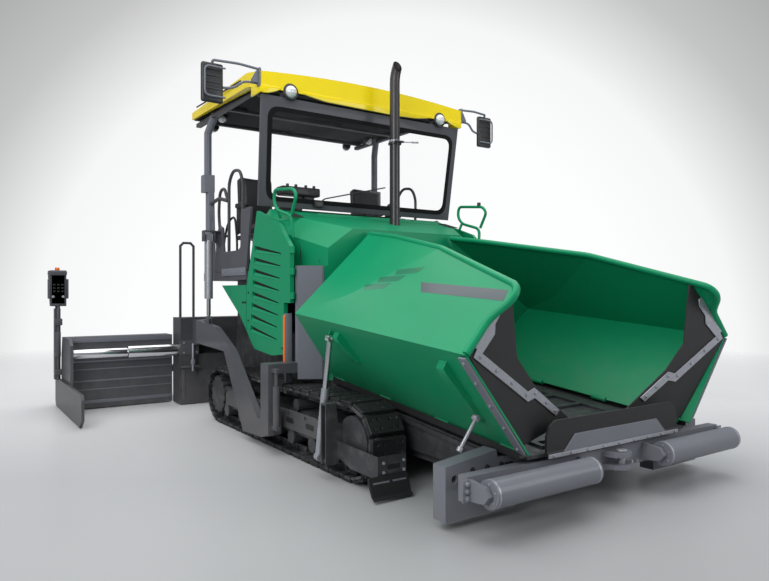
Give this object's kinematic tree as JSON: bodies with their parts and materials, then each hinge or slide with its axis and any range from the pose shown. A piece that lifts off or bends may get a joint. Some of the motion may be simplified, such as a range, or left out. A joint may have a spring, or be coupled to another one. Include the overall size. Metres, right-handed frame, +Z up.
{
  "type": "tracked asphalt paver",
  "caption": "Tracked road paver with folding hopper wings, push rollers, conveyors, augers, an operator's platform under a roof and an extending screed.",
  "frame": {"origin": "on the ground, in the middle of the machine's length and width", "axes": "+X to the front (the push rollers), +Y to the machine's left, +Z up"},
  "size_m": [6.436, 5.3, 3.75],
  "materials": {
    "body_green": "gloss",
    "roof_yellow": "gloss",
    "frame_grey": "satin",
    "dark_steel": "satin",
    "track_rubber": "matte",
    "black_rubber": "matte",
    "roller_grey": "satin",
    "rod_chrome": "polished",
    "barrel_grey": "satin",
    "seat_cover": "matte",
    "screen_glass": "clear",
    "stack_steel": "satin",
    "box_plastic": "matte",
    "cast_block": "matte"
  },
  "bodies": {
    "chassis": {"auger_gearbox": "dark_steel", "bulkheads": "frame_grey", "bumper": "roller_grey", "console": "box_plastic", "conveyors": "dark_steel", "deflector_rubbers": "black_rubber", "engine": "cast_block", "exhaust_lower": "stack_steel", "frame": "dark_steel", "grille": "body_green", "guide_posts": "frame_grey", "handrails": "frame_grey", "hood": "body_green", "hopper_wall": "body_green", "mirrors": "box_plastic", "platform": "frame_grey", "platform_sides": "frame_grey", "rear_body": "dark_steel", "roof": "roof_yellow", "roof_posts": "frame_grey", "seats": "seat_cover", "side_panels": "body_green", "track_frame_left": "dark_steel", "track_frame_right": "dark_steel", "track_left": "track_rubber", "track_right": "track_rubber", "tunnel": "dark_steel", "windscreen_frame": "frame_grey", "windscreen_glass": "screen_glass"},
    "wing_left": {"wing_left": "body_green", "wing_flap_left": "black_rubber"},
    "wing_barrel_left": {"wing_barrel_left": "barrel_grey"},
    "wing_rod_left": {"wing_rod_left": "rod_chrome"},
    "push_roller_left": {"push_roller_left": "roller_grey"},
    "auger_left": {"auger_left": "dark_steel"},
    "lift_barrel_left": {"lift_barrel_left": "barrel_grey"},
    "lift_rod_left": {"lift_rod_left": "rod_chrome"},
    "extension_left": {"extension_left": "dark_steel", "end_gate_left": "dark_steel"},
    "guide_tube_left": {"guide_tube_left": "rod_chrome"},
    "side_door_left": {"side_door_left": "body_green"},
    "wing_right": {"wing_right": "body_green", "wing_flap_right": "black_rubber"},
    "wing_barrel_right": {"wing_barrel_right": "barrel_grey"},
    "wing_rod_right": {"wing_rod_right": "rod_chrome"},
    "push_roller_right": {"push_roller_right": "roller_grey"},
    "auger_right": {"auger_right": "dark_steel"},
    "lift_barrel_right": {"lift_barrel_right": "barrel_grey"},
    "lift_rod_right": {"lift_rod_right": "rod_chrome"},
    "extension_right": {"extension_right": "dark_steel", "end_gate_right": "dark_steel"},
    "guide_tube_right": {"guide_tube_right": "rod_chrome"},
    "side_door_right": {"side_door_right": "body_green"},
    "apron": {"apron": "black_rubber"},
    "push_beam": {"push_beam": "dark_steel"},
    "screed": {"screed_box": "dark_steel", "tow_arms": "dark_steel"},
    "exhaust_upper": {"exhaust_upper": "stack_steel"}
  },
  "joints": [
    {"name": "wing_left_fold", "type": "hinge", "parent": "chassis", "child": "wing_left", "pos_m": [0.74, 0.85, 0.655], "axis": [0.9955, 0, -0.0948], "range_deg": [-30, 8]},
    {"name": "wing_barrel_left_swing", "type": "hinge", "parent": "chassis", "child": "wing_barrel_left", "pos_m": [1.38, 1.365, 0.15], "axis": [0.9955, 0, -0.0948], "range_deg": [-22, 8]},
    {"name": "wing_rod_left_slide", "type": "slide", "parent": "wing_barrel_left", "child": "wing_rod_left", "axis": [0.0944, -0.0549, 0.994], "range_m": [-0.34, 0.09]},
    {"name": "push_roller_left_spin", "type": "hinge", "parent": "push_beam", "child": "push_roller_left", "pos_m": [3.135, 0.369, 0.29], "axis": [0, 1, 0], "continuous": true},
    {"name": "auger_left_spin", "type": "hinge", "parent": "chassis", "child": "auger_left", "pos_m": [-1.75, 0.075, 0.24], "axis": [0, 1, 0], "continuous": true},
    {"name": "lift_barrel_left_swing", "type": "hinge", "parent": "chassis", "child": "lift_barrel_left", "pos_m": [-1.2, 1.32, 2], "axis": [0, 1, 0], "range_deg": [-10, 2]},
    {"name": "lift_rod_left_slide", "type": "slide", "parent": "lift_barrel_left", "child": "lift_rod_left", "axis": [0, 0, -1], "range_m": [-0.2, 0.01]},
    {"name": "extension_left_slide", "type": "slide", "parent": "screed", "child": "extension_left", "axis": [0, 1, 0], "range_m": [-1.2, 0]},
    {"name": "guide_tube_left_slide", "type": "slide", "parent": "screed", "child": "guide_tube_left", "axis": [0, 1, 0], "range_m": [-0.6, 0]},
    {"name": "side_door_left_swing", "type": "hinge", "parent": "chassis", "child": "side_door_left", "pos_m": [0.575, 1.185, 1.5], "axis": [0, 0, -1], "range_deg": [0, 100]},
    {"name": "wing_right_fold", "type": "hinge", "parent": "chassis", "child": "wing_right", "pos_m": [0.74, -0.85, 0.655], "axis": [-0.9955, 0, 0.0948], "range_deg": [-30, 8]},
    {"name": "wing_barrel_right_swing", "type": "hinge", "parent": "chassis", "child": "wing_barrel_right", "pos_m": [1.38, -1.365, 0.15], "axis": [-0.9955, 0, 0.0948], "range_deg": [-22, 8]},
    {"name": "wing_rod_right_slide", "type": "slide", "parent": "wing_barrel_right", "child": "wing_rod_right", "axis": [0.0944, 0.0549, 0.994], "range_m": [-0.34, 0.09]},
    {"name": "push_roller_right_spin", "type": "hinge", "parent": "push_beam", "child": "push_roller_right", "pos_m": [3.135, -0.369, 0.29], "axis": [0, 1, 0], "continuous": true},
    {"name": "auger_right_spin", "type": "hinge", "parent": "chassis", "child": "auger_right", "pos_m": [-1.75, -0.075, 0.24], "axis": [0, 1, 0], "continuous": true},
    {"name": "lift_barrel_right_swing", "type": "hinge", "parent": "chassis", "child": "lift_barrel_right", "pos_m": [-1.2, -1.32, 2], "axis": [0, 1, 0], "range_deg": [-10, 2]},
    {"name": "lift_rod_right_slide", "type": "slide", "parent": "lift_barrel_right", "child": "lift_rod_right", "axis": [0, 0, -1], "range_m": [-0.2, 0.01]},
    {"name": "extension_right_slide", "type": "slide", "parent": "screed", "child": "extension_right", "axis": [0, -1, 0], "range_m": [-1.2, 0]},
    {"name": "guide_tube_right_slide", "type": "slide", "parent": "screed", "child": "guide_tube_right", "axis": [0, -1, 0], "range_m": [-0.6, 0]},
    {"name": "side_door_right_swing", "type": "hinge", "parent": "chassis", "child": "side_door_right", "pos_m": [0.575, -1.185, 1.5], "axis": [0, 0, 1], "range_deg": [0, 100]},
    {"name": "apron_fold", "type": "hinge", "parent": "chassis", "child": "apron", "pos_m": [3.04, 0, 0.415], "axis": [0, 1, 0], "range_deg": [0, 75]},
    {"name": "push_beam_turn", "type": "hinge", "parent": "chassis", "child": "push_beam", "pos_m": [2.87, 0, 0.29], "axis": [0, 0, 1], "range_deg": [-4, 4]},
    {"name": "screed_lift", "type": "hinge", "parent": "chassis", "child": "screed", "pos_m": [0.5, 0, 0.27], "axis": [0, 1, 0], "range_deg": [0, 6]},
    {"name": "exhaust_fold", "type": "hinge", "parent": "chassis", "child": "exhaust_upper", "pos_m": [0.3525, 0.13, 2.945], "axis": [0, 1, 0], "range_deg": [0, 90]}
  ],
  "couplings": [
    {"joint": "wing_barrel_left_swing", "follows": "wing_left_fold", "ratio": 0.48021},
    {"joint": "wing_rod_left_slide", "follows": "wing_left_fold", "m_per_rad": 0.5306},
    {"joint": "lift_barrel_left_swing", "follows": "screed_lift", "ratio": -1.1888},
    {"joint": "lift_rod_left_slide", "follows": "screed_lift", "m_per_rad": -1.6191},
    {"joint": "guide_tube_left_slide", "follows": "extension_left_slide", "ratio": 0.5},
    {"joint": "wing_barrel_right_swing", "follows": "wing_right_fold", "ratio": 0.48021},
    {"joint": "wing_rod_right_slide", "follows": "wing_right_fold", "m_per_rad": 0.5306},
    {"joint": "lift_barrel_right_swing", "follows": "screed_lift", "ratio": -1.1888},
    {"joint": "lift_rod_right_slide", "follows": "screed_lift", "m_per_rad": -1.6191},
    {"joint": "guide_tube_right_slide", "follows": "extension_right_slide", "ratio": 0.5}
  ]
}
